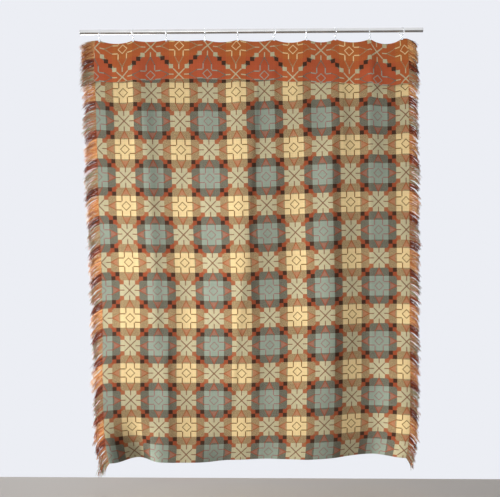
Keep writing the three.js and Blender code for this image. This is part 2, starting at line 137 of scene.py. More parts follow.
# Crest and trough lines of the main folds, from their place across the top to that across the
# hem, with a depth at each level down the cloth: positive away from the viewer
LEVELS = (0, 0.25, 0.5, 0.72, 0.9, 1)
FOLDS = [
    # name, top, hem, depths at the levels
    ("left edge", 0, 0, (0, 0, 4, 0, -18, -40)),
    ("left hollow", 160, 180, (0, -5, -9, -7, -1, 44)),
    ("left ridge", 265, 320, (0, -11, -15, -11, -5, -14)),
    ("left trough", 395, 480, (0, -9, -9, -4, 3, -10)),
    ("centre ridge", 870, 700, (0, -23, -28, -20, -2, 24)),
    ("right hollow", 1140, 900, (0, -16, -15, -11, -7, 26)),
    ("right ridge", 1265, 1190, (0, -18, -23, -20, -19, -4)),
    ("right trough", 1450, 1490, (0, -9, -5, 9, 12, 52)),
    ("right edge", CLOTH_WIDTH, CLOTH_WIDTH, (0, 0, 0, 0, -22, -4)),
]

# How far the left edge, the middle and the right edge hang to the right at each level down,
# and how much lower the two edges hang than their folds alone would let them
HANGINGS = [
    # down, left, middle, right, left edge lower, right edge lower
    (0, -9, -1, 6, 0, 0),
    (0.07, -2, 2, 4, 0, 0),
    (0.14, 4, 5, 3, 0, 0),
    (0.27, 11, 13, 8, 2, 2),
    (0.4, 14, 19, 12, 6, 5),
    (0.53, 22, 29, 19, 12, 8),
    (0.66, 23, 35, 23, 16, 9),
    (0.79, 20, 32, 28, 18, 8),
    (0.92, 25, 28, 29, 14, 6),
    (1, 29, 36, 41, 6, 3),
]

# Mesh steps of the cloth
STEPS_BETWEEN_CLIPS = 19
COLUMNS_FROM_EDGE = (0, 0.6, 2, 5, 12)
FLAP_STEPS = 24
FOLD_STEPS = 8
FRONT_STEPS = 236


def mix(low, high, share):
    return low + (high - low) * share


def ease(share):
    share = np.clip(share, 0, 1)
    return share * share * (3 - 2 * share)


def smooth_curve(places, values, at):
    """A smooth curve through a table's points, whose slope at each is that between its neighbours."""
    places, values = np.asarray(places, float), np.asarray(values, float)
    last = len(places) - 1
    index = np.arange(last + 1)
    before, after = np.maximum(index - 1, 0), np.minimum(index + 1, last)
    slope = (values[after] - values[before]) / (places[after] - places[before])
    start = np.clip(np.searchsorted(places, at) - 1, 0, last - 1)
    span = places[start + 1] - places[start]
    t = np.clip((at - places[start]) / span, 0, 1)
    bow = t * (1 - t) * span * ((1 - t) * slope[start] - t * slope[start + 1])
    return mix(values[start], values[start + 1], ease(t)) + bow


def fold_depth(across, down):
    """Depth of the hanging cloth behind the plane of the fold."""
    lines = [
        (mix(top, hem, down), smooth_curve(LEVELS, depths, down))
        for name, top, hem, depths in FOLDS
    ]
    depth = lines[0][1]
    for (left, depth_left), (right, depth_right) in zip(lines, lines[1:]):
        between = mix(depth_left, depth_right, ease((across - left) / (right - left)))
        depth = np.where(across > left, between, depth)
    return depth


def span_shape(across):
    """How far each column is from a clip, from 0 at one to 1 half way to the next, and its sag."""
    index = np.clip(np.searchsorted(CLIP_ACROSS, across) - 1, 0, len(CLIP_ACROSS) - 2)
    half = (CLIP_ACROSS[index + 1] - CLIP_ACROSS[index]) / 2
    offset = (across - CLIP_ACROSS[index] - half) / half
    away = np.maximum(1 - offset * offset, 0)
    return away, CLIP_SAG[index] * away


# Creases over the main folds, as soft troughs (depth above 0) or ridges (below 0). Each runs
# straight between two places, given across and as the drop below the fold, and falls off over
# its own width to the left and to the right.
CREASES = [
    # name, start across, start drop, end across, end drop, depth, left width, right width
    ("sharp fold under the fifth clip", 872, 190, 784, 1330, -5, 90, 18),
    ("its tail to the hem", 776, 1200, 690, 2100, -3, 50, 15),
    ("second tail", 800, 1200, 850, 2100, -2.5, 50, 26),
    ("edge of the left ridge", 280, 240, 292, 1720, -4, 90, 26),
    ("step beside it", 372, 160, 368, 1200, 2.5, 50, 40),
    ("edge at the left foot", 348, 1560, 362, 2240, -4.5, 60, 16),
    ("edge of the right ridge", 1272, 420, 1262, 1900, -5, 90, 22),
    ("bulge under the third clip", 700, 600, 716, 1620, -4, 110, 60),
    ("upper pucker under the second clip", 236, 40, 262, 700, -2.5, 60, 30),
    ("upper pucker under the seventh clip", 1090, 60, 1100, 600, -2.5, 70, 40),
    ("upper pucker under the eighth clip", 1316, 60, 1330, 620, -3, 60, 30),
    ("upper pucker under the ninth clip", 1488, 60, 1500, 700, -3, 60, 40),
]
CREASE_FADE = 120
RIPPLES = 26
RIPPLE_LENGTHS = (90, 420)
RIPPLE_LEAN = 0.45
RIPPLE_DEPTH = 0.9
CALM_AT_CLIPS = 90


def crease_depth(across, drop):
    depth = np.zeros_like(across)
    for name, start_across, start_drop, end_across, end_drop, deep, left, right in CREASES:
        run = np.array([end_across - start_across, end_drop - start_drop], float)
        length = np.hypot(*run)
        run /= length
        along = (across - start_across) * run[0] + (drop - start_drop) * run[1]
        aside = (across - start_across) * run[1] - (drop - start_drop) * run[0]
        shown = ease(along / CREASE_FADE) * ease((length - along) / CREASE_FADE)
        depth += deep * shown * np.exp(-((aside / np.where(aside < 0, left, right)) ** 2))
    return depth


def ripple_depth(across, drop):
    """The unevenness of hung wool: many faint waves, most of them upright."""
    depth = np.zeros_like(across)
    for wave in range(RIPPLES):
        length = rng.uniform(*RIPPLE_LENGTHS)
        lean = rng.normal(0, RIPPLE_LEAN)
        phase = rng.uniform(0, 2 * math.pi)
        place = across * math.cos(lean) + drop * math.sin(lean)
        depth += length * np.cos(2 * math.pi * place / length + phase)
    return RIPPLE_DEPTH * depth / (np.mean(RIPPLE_LENGTHS) * math.sqrt(RIPPLES / 2))


def cloth_columns():
    spans = [
        np.linspace(left, right, STEPS_BETWEEN_CLIPS, endpoint=False)
        for left, right in zip(CLIP_ACROSS, CLIP_ACROSS[1:])
    ]
    from_edge = np.array(COLUMNS_FROM_EDGE)
    return np.concatenate([from_edge, *spans, [CLIP_ACROSS[-1]], CLOTH_WIDTH - from_edge[::-1]])


def cloth_grid():
    """The middle surface of the cloth: its points, and where each lies on the flat cloth."""
    across = cloth_columns()
    away, sag = span_shape(across)
    radius = mix(FOLD_RADIUS_AT_CLIP, FOLD_RADIUS_BETWEEN, away)
    quarter_turn = math.pi / 2 * radius
    flap = smooth_curve(FLAP_ACROSS, FLAP_LENGTH, across)
    apart = smooth_curve(FLAP_ACROSS, FLAP_APART, across)
    flap_drop = flap - quarter_turn
    front_drop = CLOTH_LENGTH - flap - quarter_turn

    flap_share = np.linspace(1, 0, FLAP_STEPS, endpoint=False)[:, None]
    turn = np.linspace(-math.pi / 2, math.pi / 2, FOLD_STEPS + 1)[:, None]
    front_share = np.linspace(0, 1, FRONT_STEPS + 1)[1:, None]

    drop = np.vstack([flap_share * flap_drop, -radius * np.cos(turn), front_share * front_drop])
    along = np.vstack([
        flap_drop * (1 - flap_share),
        flap_drop + radius * (turn + math.pi / 2),
        flap_drop + 2 * quarter_turn + front_share * front_drop,
    ])
    across = np.broadcast_to(across, drop.shape)
    down = np.maximum(drop, 0) / front_drop
    behind = radius + fold_depth(across, down)
    y = behind.copy()
    y[:FLAP_STEPS] -= mix(2 * radius, apart, flap_share)
    y[FLAP_STEPS:-FRONT_STEPS] = radius * np.sin(turn)
    sag = sag * np.exp(-np.maximum(drop, 0) / SAG_FADE_LENGTH)

    width = np.sqrt(np.diff(across) ** 2 - np.diff(y) ** 2 - np.diff(sag) ** 2)
    x = np.hstack([np.zeros((len(y), 1)), np.cumsum(width, axis=1)])
    half = x[:, -1:] / 2
    side = x / half - 1
    down_stops, *hung = zip(*HANGINGS)
    left, middle, right, left_drop, right_drop = (
        smooth_curve(down_stops, column, down) for column in hung
    )
    aside = middle + side * (right - left) / 2 + side**2 * ((left + right) / 2 - middle)
    x += aside - half
    lower = left_drop * np.exp(-across / EDGE_DROP_REACH)
    lower += right_drop * np.exp((across - CLOTH_WIDTH) / EDGE_DROP_REACH)

    lift = np.zeros_like(y)
    step = np.diff(drop, axis=0)[-FRONT_STEPS:]
    deep = np.diff(y, axis=0)[-FRONT_STEPS:]
    lift[-FRONT_STEPS:] = np.cumsum(step - np.sqrt(np.maximum(step**2 - deep**2, 0)), axis=0)
    z = CLOTH_TOP - CLOTH_THICKNESS / 2 - radius - drop - sag - lower + lift

    calm = ease(drop / CALM_AT_CLIPS)
    y = y + calm * (crease_depth(across, drop) + ripple_depth(across, drop))
    return np.stack([x, y, z], axis=-1), np.stack([across, along], axis=-1)


def unit(vectors):
    return vectors / np.linalg.norm(vectors, axis=-1, keepdims=True)


def reverse_normals(points):
    """Directions out of the reverse side, which is the outside of the fold."""
    to_next_column = unit(np.gradient(points, axis=1))
    to_next_row = unit(np.gradient(points, axis=0))
    return unit(np.cross(to_next_column, to_next_row))


# Helpers for meshes, pieces and materials


def hex_colour(code):
    """An sRGB hex code as the linear colour that a shader takes."""
    parts = [int(code[i : i + 2], 16) / 255 for i in (1, 3, 5)]
    return (*(p / 12.92 if p <= 0.04045 else ((p + 0.055) / 1.055) ** 2.4 for p in parts), 1)


def make_mesh(name, points, faces):
    mesh = bpy.data.meshes.new(name)
    mesh.from_pydata((np.asarray(points) * METRES).tolist(), [], np.asarray(faces).tolist())
    mesh.shade_smooth()
    return mesh


def add_piece(name, mesh, materials, replaced):
    """A piece of the blanket or its rail, in place of the nodes that it refines."""
    if not mesh.materials:
        for material in materials:
            mesh.materials.append(material)
    piece = bpy.data.objects.new(name, mesh)
    bpy.context.scene.collection.objects.link(piece)
    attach(piece, "root")
    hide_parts(*replaced)
    return piece


def set_map(mesh, name, corners):
    """A UV map with a place for each corner of each face."""
    layer = mesh.uv_layers.new(name=name)
    layer.uv.foreach_set("vector", np.asarray(corners, np.float32).ravel())


def new_material(name):
    material = bpy.data.materials.new(name)
    material.use_nodes = True
    tree = material.node_tree
    tree.nodes.clear()
    return material, tree


def add(tree, kind, inputs=(), **settings):
    """Adds a node with its settings. An input is either a socket to link or a value to store."""
    node = tree.nodes.new("ShaderNode" + kind)
    for name, value in settings.items():
        setattr(node, name, value)
    for key, value in dict(inputs).items():
        if isinstance(value, bpy.types.NodeSocket):
            tree.links.new(value, node.inputs[key])
        else:
            node.inputs[key].default_value = value
    return node


# Weave chart: one repeat is 54 units of cloth, and the middle of a cream band is at 0
REPEAT_ACROSS = 304
REPEAT_ALONG = 305.6
REPEAT_UNITS = 54
CREAM_MIDDLE_ACROSS = 152
CREAM_MIDDLE_ALONG = 178
HALF_REPEAT = REPEAT_UNITS / 2
BLOCK_PITCH = REPEAT_UNITS / 4
BLOCK = 9.5
DARK_BAND_END = 17.5
THREADS_PER_UNIT = 4

CREAM_YARN = "#ECD19B"
DARK_YARN = "#3E2210"
TEAL_YARN = "#929F90"
RUST_YARN_IN_CREAM = "#BC672E"
RUST_YARN_IN_DARK = "#B8542C"
RUST_YARN_IN_TEAL = "#BA5632"

# A line one or two threads wide lies half in the shade between the layers, so it reads browner
# than a block of the same rust yarn. The ray tips are half covered by the lighter layer.
LINE_IN_CREAM = "#78551E"
LINE_IN_DARK = "#6E4A34"
LINE_IN_TEAL = "#96706A"
TIP_IN_CREAM = "#D99A68"
TIP_IN_DARK = "#8C5A48"
TIP_IN_TEAL = "#A87A66"

# The rust blocks of the face are small and a little sunk, so the lighter layer's fibres lie over
# their edges and shade them
RUST_FADE = 0.12
RUST_SHADE = 0.75

# How much the single threads of two crossing colours stand out, how uneven the dye and the
# cloth's wear are, and how dark the painted shade in the gaps between the threads is
THREAD_CONTRAST = 0.35
TONE_GAMMA = 2.2
THREAD_SHADE = 0.1
CLOUD_SHADE = 0.06
PAINTED_GAP_SHADE = 0.3

# Sizes of the clouds of wear and of the carded fibres, which are some 0.03 mm thick and are drawn
# as coarse as they need to show
CLOUD_SIZE = 111
FIBRE_SIZE = 0.625
FRINGE_FIBRE_SIZE = 1.43

# How deep the weave is, and how much of that the fibres and the swelling of a layer add
RELIEF_DEPTH = 0.35
FIBRE_LIFT = 0.5
LAYER_LIFT = 0.8

# Where the rust layer comes to the face. Near and far are the smaller and the larger of the two
# distances from the middle of a block, in units; sum and difference are those of the two, and
# rising and falling are near with RAY_SLOPE times far added or taken away.
# A diamond block is one where a band crosses its own colour, and a star block any other.
RAY_SLOPE = 0.525
CHART = [
    # name, yarn, block, ranges of the distances
    ("star corners", "rust", "star", {"near": (5.5, 9.5), "far": (5.5, 9.5)}),
    (
        "star corner points", "rust", "star",
        {"near": (7.5, 9.5), "far": (9.5, 11.5), "difference": (0, 2)},
    ),
    ("corner squares", "rust", "star", {"near": (9.5, 13.5)}),
    ("ray tip", "tip", "diamond", {"rising": (0, 8.75), "far": (11, 13.5)}),
    ("ray tip, outer half", "tip", "star", {"falling": (-9, -5.45), "far": (9.5, 13.5)}),
    ("ray legs", "rust", "diamond", {"rising": (8.75, 9.65), "far": (9.5, 13.5)}),
    ("ray legs, outer half", "rust", "star", {"falling": (-5.45, -4.6), "far": (9.5, 13.5)}),
    ("diamond line", "line", "diamond", {"sum": (3.9, 4.8)}),
    ("corner brackets", "line", "diamond", {"near": (3.7, 4.7), "far": (4.7, 9.5)}),
    ("star diagonals", "line", "star", {"far": (0, 5.5), "difference": (0, 0.7)}),
    ("petal partings", "line", "star", {"near": (0, 0.5), "far": (4.8, 9.5)}),
]


def band_colours(tree, distance, cream, dark, teal):
    """The colour of a yarn by how far its band is from the middle of a cream one."""
    share = add(tree, "Math", {0: distance, 1: HALF_REPEAT}, operation="DIVIDE").outputs[0]
    ramp = add(tree, "ValToRGB", {0: share})
    ramp.color_ramp.interpolation = "CONSTANT"
    stops = ramp.color_ramp.elements
    stops[0].position, stops[0].color = 0, hex_colour(cream)
    stops[1].position, stops[1].color = BLOCK / HALF_REPEAT, hex_colour(dark)
    last = stops.new(DARK_BAND_END / HALF_REPEAT)
    last.color = hex_colour(teal)
    return ramp.outputs["Color"]


def double_cloth(reverse):
    """Welsh double cloth: two plain-woven wool layers that change places to draw the pattern.

    The yarn is carded and hairy, so the cloth is matt with a soft sheen and blurred edges. Real
    threads lie less than a millimetre apart, too fine to show, so they are drawn about 1.4 mm
    apart. On the reverse side each layer shows where the other one does on the face.
    """
    material, tree = new_material("wool double cloth" + (", reverse" if reverse else ""))
    flat = add(tree, "UVMap", uv_map="flat").outputs["UV"]
    per_unit = REPEAT_UNITS / (REPEAT_ACROSS * METRES), REPEAT_UNITS / (REPEAT_ALONG * METRES)
    start = (
        -CREAM_MIDDLE_ACROSS * METRES * per_unit[0],
        -CREAM_MIDDLE_ALONG * METRES * per_unit[1],
    )
    units = add(
        tree, "VectorMath", {0: flat, 1: (*per_unit, 0), 2: (*start, 0)}, operation="MULTIPLY_ADD"
    ).outputs[0]
    step = add(tree, "VectorMath", {0: units, 1: (0.5, 0.5, 1)}, operation="SNAP").outputs[0]
    middle = add(tree, "VectorMath", {0: step, 1: (0.25, 0.25, 0)}).outputs[0]
    place = add(tree, "SeparateXYZ", {0: middle})
    from_cream, from_block, past = [], [], []
    for axis in "XY":
        band = add(
            tree, "Math", {0: place.outputs[axis], 1: HALF_REPEAT}, operation="PINGPONG"
        ).outputs[0]
        block = add(
            tree, "Math", {0: place.outputs[axis], 1: BLOCK_PITCH}, operation="PINGPONG"
        ).outputs[0]
        from_cream.append(band)
        from_block.append(block)
        past.append(add(tree, "Math", {0: band, 1: BLOCK_PITCH}, operation="GREATER_THAN").outputs[0])

    both = {0: from_block[0], 1: from_block[1]}
    near = add(tree, "Math", both, operation="MINIMUM").outputs[0]
    far = add(tree, "Math", both, operation="MAXIMUM").outputs[0]
    measures = {
        "near": near,
        "far": far,
        "sum": add(tree, "Math", both, operation="ADD").outputs[0],
        "difference": add(tree, "Math", {0: far, 1: near}, operation="SUBTRACT").outputs[0],
    }
    for name, slope in (("rising", RAY_SLOPE), ("falling", -RAY_SLOPE)):
        measures[name] = add(
            tree, "Math", {0: far, 1: slope, 2: near}, operation="MULTIPLY_ADD"
        ).outputs[0]
    is_star = add(tree, "Math", {0: past[0], 1: past[1]}, operation="SUBTRACT").outputs[0]
    is_star = add(tree, "Math", {0: is_star}, operation="ABSOLUTE").outputs[0]
    is_diamond = add(tree, "Math", {0: 1.0, 1: is_star}, operation="SUBTRACT").outputs[0]
    kinds = {"star": is_star, "diamond": is_diamond}

    up = dict.fromkeys(("rust", "tip", "line"), 0.0)
    for name, yarn, kind, ranges in CHART:
        inside = kinds[kind]
        for measure, (least, most) in ranges.items():
            test = add(
                tree,
                "Math",
                {0: measures[measure], 1: (least + most) / 2, 2: (most - least) / 2},
                operation="COMPARE",
            ).outputs[0]
            inside = add(tree, "Math", {0: inside, 1: test}, operation="MULTIPLY").outputs[0]
        up[yarn] = add(tree, "Math", {0: up[yarn], 1: inside}, operation="MAXIMUM").outputs[0]
    rust_up = add(tree, "Math", {0: up["rust"], 1: up["line"]}, operation="MAXIMUM").outputs[0]
    if reverse:
        rust_up = add(tree, "Math", {0: 1.0, 1: rust_up}, operation="SUBTRACT").outputs[0]

    threads = add(
        tree, "VectorMath", {0: units, "Scale": THREADS_PER_UNIT}, operation="SCALE"
    ).outputs[0]
    thread = add(tree, "SeparateXYZ", {0: threads})
    over = add(tree, "TexChecker", {"Vector": threads, "Scale": 1.0}).outputs["Fac"]
    layers = []
    for cream, dark, teal in (
        (CREAM_YARN, DARK_YARN, TEAL_YARN),
        (RUST_YARN_IN_CREAM, RUST_YARN_IN_DARK, RUST_YARN_IN_TEAL),
        (TIP_IN_CREAM, TIP_IN_DARK, TIP_IN_TEAL),
        (LINE_IN_CREAM, LINE_IN_DARK, LINE_IN_TEAL),
    ):
        yarns = [band_colours(tree, band, cream, dark, teal) for band in from_cream]
        seen = add(tree, "Mix", {"Factor": over, 6: yarns[0], 7: yarns[1]}, data_type="RGBA").outputs[2]
        # From a distance two crossing yarns read as their middle tone, which is darker than
        # the mean of their light, because each yarn lies half in the shade of the other
        tones = [
            add(tree, "Gamma", {"Color": yarn, "Gamma": 1 / TONE_GAMMA}).outputs[0] for yarn in yarns
        ]
        tone = add(tree, "Mix", {"Factor": 0.5, 6: tones[0], 7: tones[1]}, data_type="RGBA").outputs[2]
        tone = add(tree, "Gamma", {"Color": tone, "Gamma": TONE_GAMMA}).outputs[0]
        layers.append(
            add(tree, "Mix", {"Factor": THREAD_CONTRAST, 6: tone, 7: seen}, data_type="RGBA").outputs[2]
        )
    if not reverse:
        faded = add(
            tree, "Mix", {"Factor": RUST_FADE, 6: layers[1], 7: layers[0]}, data_type="RGBA"
        ).outputs[2]
        layers[1] = add(
            tree, "VectorMath", {0: faded, "Scale": RUST_SHADE}, operation="SCALE"
        ).outputs[0]
    woven = add(
        tree, "Mix", {"Factor": rust_up, 6: layers[0], 7: layers[1]}, data_type="RGBA"
    ).outputs[2]
    if not reverse:
        for yarn, layer in (("tip", layers[2]), ("line", layers[3])):
            woven = add(
                tree, "Mix", {"Factor": up[yarn], 6: woven, 7: layer}, data_type="RGBA"
            ).outputs[2]

    # Each thread is spun and dyed a little lighter or darker than the next
    uneven = []
    for axis in "XY":
        number = add(tree, "Math", {0: thread.outputs[axis]}, operation="FLOOR").outputs[0]
        uneven.append(add(tree, "TexWhiteNoise", {"W": number}, noise_dimensions="1D").outputs["Value"])
    shade = add(tree, "Mix", {"Factor": over, 2: uneven[0], 3: uneven[1]}, data_type="FLOAT").outputs[0]
    shade = add(
        tree, "MapRange", {"Value": shade, "To Min": 1 - THREAD_SHADE, "To Max": 1 + THREAD_SHADE}
    ).outputs[0]
    cloudy = add(
        tree, "TexNoise", {"Vector": flat, "Scale": 1 / (CLOUD_SIZE * METRES), "Detail": 3.0}
    ).outputs["Fac"]
    cloudy = add(
        tree, "MapRange", {"Value": cloudy, "To Min": 1 - CLOUD_SHADE, "To Max": 1 + CLOUD_SHADE}
    ).outputs[0]
    shade = add(tree, "Math", {0: shade, 1: cloudy}, operation="MULTIPLY").outputs[0]

    # Each thread is round and dips under the next one that crosses it. Painted shade darkens the
    # colour in the gaps between the threads.
    rounds = []
    for axis in "XY":
        wave = add(tree, "Math", {0: thread.outputs[axis], 1: math.pi}, operation="MULTIPLY").outputs[0]
        wave = add(tree, "Math", {0: wave}, operation="SINE").outputs[0]
        rounds.append(add(tree, "Math", {0: wave}, operation="ABSOLUTE").outputs[0])
    crests = []
    for cross, lengthwise in (rounds, rounds[::-1]):
        dip = add(tree, "Math", {0: lengthwise, 1: 0.5}, operation="POWER").outputs[0]
        crests.append(add(tree, "Math", {0: cross, 1: dip}, operation="MULTIPLY").outputs[0])
    relief = add(
        tree, "Mix", {"Factor": over, 2: crests[0], 3: crests[1]}, data_type="FLOAT"
    ).outputs[0]
    # Painted shade: the colour darkens where each thread dips into the gap beside it
    painted_gap_shade = add(
        tree, "MapRange", {"Value": relief, "To Min": 1 - PAINTED_GAP_SHADE, "To Max": 1.0}
    ).outputs[0]
    shade = add(tree, "Math", {0: shade, 1: painted_gap_shade}, operation="MULTIPLY").outputs[0]
    colour = add(tree, "VectorMath", {0: woven, "Scale": shade}, operation="SCALE").outputs[0]

    # Carded fibres stand out of the yarn, and the layer that is up swells a little
    fibres = add(
        tree, "TexNoise", {"Vector": flat, "Scale": 1 / (FIBRE_SIZE * METRES), "Detail": 2.0}
    ).outputs["Fac"]
    height = add(
        tree, "Math", {0: fibres, 1: FIBRE_LIFT, 2: relief}, operation="MULTIPLY_ADD"
    ).outputs[0]
    height = add(
        tree, "Math", {0: rust_up, 1: LAYER_LIFT, 2: height}, operation="MULTIPLY_ADD"
    ).outputs[0]
    bump = add(
        tree, "Bump", {"Strength": 0.6, "Distance": RELIEF_DEPTH * METRES, "Height": height}
    ).outputs[0]
    wool = add(
        tree,
        "BsdfPrincipled",
        {
            "Base Color": colour,
            "Roughness": 0.92,
            "IOR": 1.55,
            "Specular IOR Level": 0.25,
            "Sheen Weight": 0.1,
            "Sheen Roughness": 0.5,
            "Sheen Tint": hex_colour("#FFF4E0"),
            "Normal": bump,
        },
    ).outputs[0]
    add(tree, "OutputMaterial", {"Surface": wool})
    return material


# The cloth's map: its empty border, and how much further out its rounded edges lie
MAP_MARGIN = 0.01
EDGE_SPREAD = 1.012


def build_blanket(points, flat):
    """The cloth as one thin closed sheet, with rounded edges."""
    rows, columns = points.shape[:2]
    normals = reverse_normals(points)
    half = CLOTH_THICKNESS / 2
    number = np.arange(rows * columns).reshape(rows, columns)
    back = (points + half * normals).reshape(-1, 3)
    front = (points - half * normals).reshape(-1, 3)

    # The edge goes once round: down the left side, along the hem, up the right, and back
    edge = np.concatenate([
        number[:-1, 0], number[-1, :-1], number[:0:-1, -1], number[0, :0:-1]
    ])
    outwards = np.zeros_like(points)
    outwards[:, 0] -= unit(points[:, 1] - points[:, 0])
    outwards[:, -1] += unit(points[:, -1] - points[:, -2])
    outwards[0] -= unit(points[1] - points[0])
    outwards[-1] += unit(points[-1] - points[-2])
    edge_places = points.reshape(-1, 3)[edge]
    rim = edge_places + half * unit(outwards.reshape(-1, 3)[edge])

    total = rows * columns
    a, b = number[:-1, :-1].ravel(), number[:-1, 1:].ravel()
    c, d = number[1:, 1:].ravel(), number[1:, :-1].ravel()
    back_faces = np.stack([a, b, c, d], axis=1)
    front_faces = np.stack([a, d, c, b], axis=1) + total
    rim_here = 2 * total + np.arange(len(edge))
    rim_next = np.roll(rim_here, -1)
    next_edge = np.roll(edge, -1)
    rim_faces = np.concatenate([
        np.stack([edge, next_edge, rim_next, rim_here], axis=1),
        np.stack([rim_here, rim_next, next_edge + total, edge + total], axis=1),
    ])
    faces = np.concatenate([front_faces, back_faces, rim_faces])
    mesh = make_mesh("woven_blanket", np.concatenate([back, front, rim]), faces)

    flat_points = flat.reshape(-1, 2)
    places = np.concatenate([flat_points, flat_points, flat_points[edge]]) * METRES
    corners = faces.ravel()
    set_map(mesh, "flat", places[corners])

    sides = np.zeros(len(faces), np.int32)
    sides[len(front_faces) : len(front_faces) + len(back_faces)] = 1
    mesh.polygons.foreach_set("material_index", sides)

    # A second map keeps the sides apart: the face on its left half, the reverse on its right.
    # The rounded edges lie just outside the side that they join.
    share = flat_points / (CLOTH_WIDTH, CLOTH_LENGTH)
    share = np.concatenate([share, share, (share[edge] - 0.5) * EDGE_SPREAD + 0.5])
    on_reverse = np.zeros((len(faces), 1))
    on_reverse[len(front_faces) : len(faces) - len(edge)] = 1
    place = share[faces] * (0.5 - 2 * MAP_MARGIN, 1 - 2 * MAP_MARGIN) + MAP_MARGIN
    place[..., 0] += on_reverse / 2
    set_map(mesh, "OFBake", place.reshape(-1, 2))
    return mesh


# Fringe: loose warp ends that grow along each side edge, drawn together in small bunches. Each
# starts at an uneven place in its pitch, a little inside the edge and in front of its middle.
STRAND_PITCH = 0.86
STRAND_PLACE = (0.2, 0.8)
STRAND_RADIUS = 1.1
STRAND_TIP_RADIUS = 0.5
RADIUS_SPREAD = (0.8, 1.15)
STRAND_SEGMENTS = 7
STRAND_SIDES = 4
STRAND_ROOT_DEPTH = 1.5
STRAND_FORWARD = 0.4
STRAND_DRIFT = 2.5
BUNCH_PITCH = 12
BUNCH_PULL = 0.4
BUNCH_WANDER = 0.25
BUNCH_WANDER_LENGTH = 37

# How each strand bends from root to tip, in degrees below its droop
LOCK_BEND = ((0, 0.34, 0.74, 1), (-22, -16, 4, 20))

# Each strand wavers: how far its wave turns from root to tip, in radians, and how wide it is
WAVER_TURN = (9, 16)
WAVER_REACH = (0.8, 2.8)

# How uneven the strands are, first from bunch to bunch and then from strand to strand
LENGTH_SPREAD = (0.08, 0.07)
DROOP_SPREAD = (4, 4)
DRIFT_SPREAD = (2.5, 1.5)

# How much lighter or darker a single strand and a whole bunch came out of the dye
STRAND_SHADE = (0.62, 1.12)
BUNCH_SHADE = 0.08

# The two warps end together in each band. Loose and twisted, they look duller than in the cloth,
# and the cream is drawn darker as painted shade among the crowded strands.
FRINGE_DYES_AND_SHADE = [
    # lighter layer, rust layer
    ("#DCAC72", "#B96432"),
    ("#4C2214", "#A04824"),
    ("#9C9A7A", "#B05F34"),
]
FRINGE_LEVELS = (0, 0.5, 0.94, 1)
FRINGE_HANG = {
    # droop and length at the levels down the edge
    "left": ((32, 44, 57, 70), (78, 80, 77, 96)),
    "right": ((46, 38, 58, 68), (62, 64, 66, 78)),
}

# A strand's own cell on the fringe's map, in shares of it: unrolled sides with both ends above
CELL_MARGIN = 0.06
CELL_STEP = (0.2, 0.1)
CELL_ENDS = ((0.1, 0.82), (0.6, 0.82))
CELL_END_SIZE = 0.1


def band_of(along):
    """The band of the cloth at a place along it: 0 for cream, 1 for dark and 2 for teal."""
    repeats = (along - CREAM_MIDDLE_ALONG) / REPEAT_ALONG
    distance = np.abs(repeats - np.round(repeats)) * REPEAT_UNITS
    return (distance > BLOCK).astype(int) + (distance > DARK_BAND_END)


def tubes(paths, radii, sides, twist_from):
    """Closed tubes along many paths of the same number of points: points and faces."""
    count, steps = paths.shape[:2]
    heading = unit(np.gradient(paths, axis=1))
    side = unit(np.cross(heading, twist_from[:, None, :]))
    lift = np.cross(heading, side)
    angles = np.arange(sides) * 2 * math.pi / sides
    ring = (
        side[:, :, None, :] * np.cos(angles)[:, None]
        + lift[:, :, None, :] * np.sin(angles)[:, None]
    )
    points = paths[:, :, None, :] + ring * radii[:, :, None, None]
    number = np.arange(count * steps * sides).reshape(count, steps, sides)
    after = np.roll(number, -1, axis=2)
    walls = np.stack(
        [number[:, :-1], after[:, :-1], after[:, 1:], number[:, 1:]], axis=-1
    ).reshape(-1, 4)
    caps = np.concatenate([number[:, 0, ::-1], number[:, -1]])
    return points.reshape(-1, 3), walls, caps


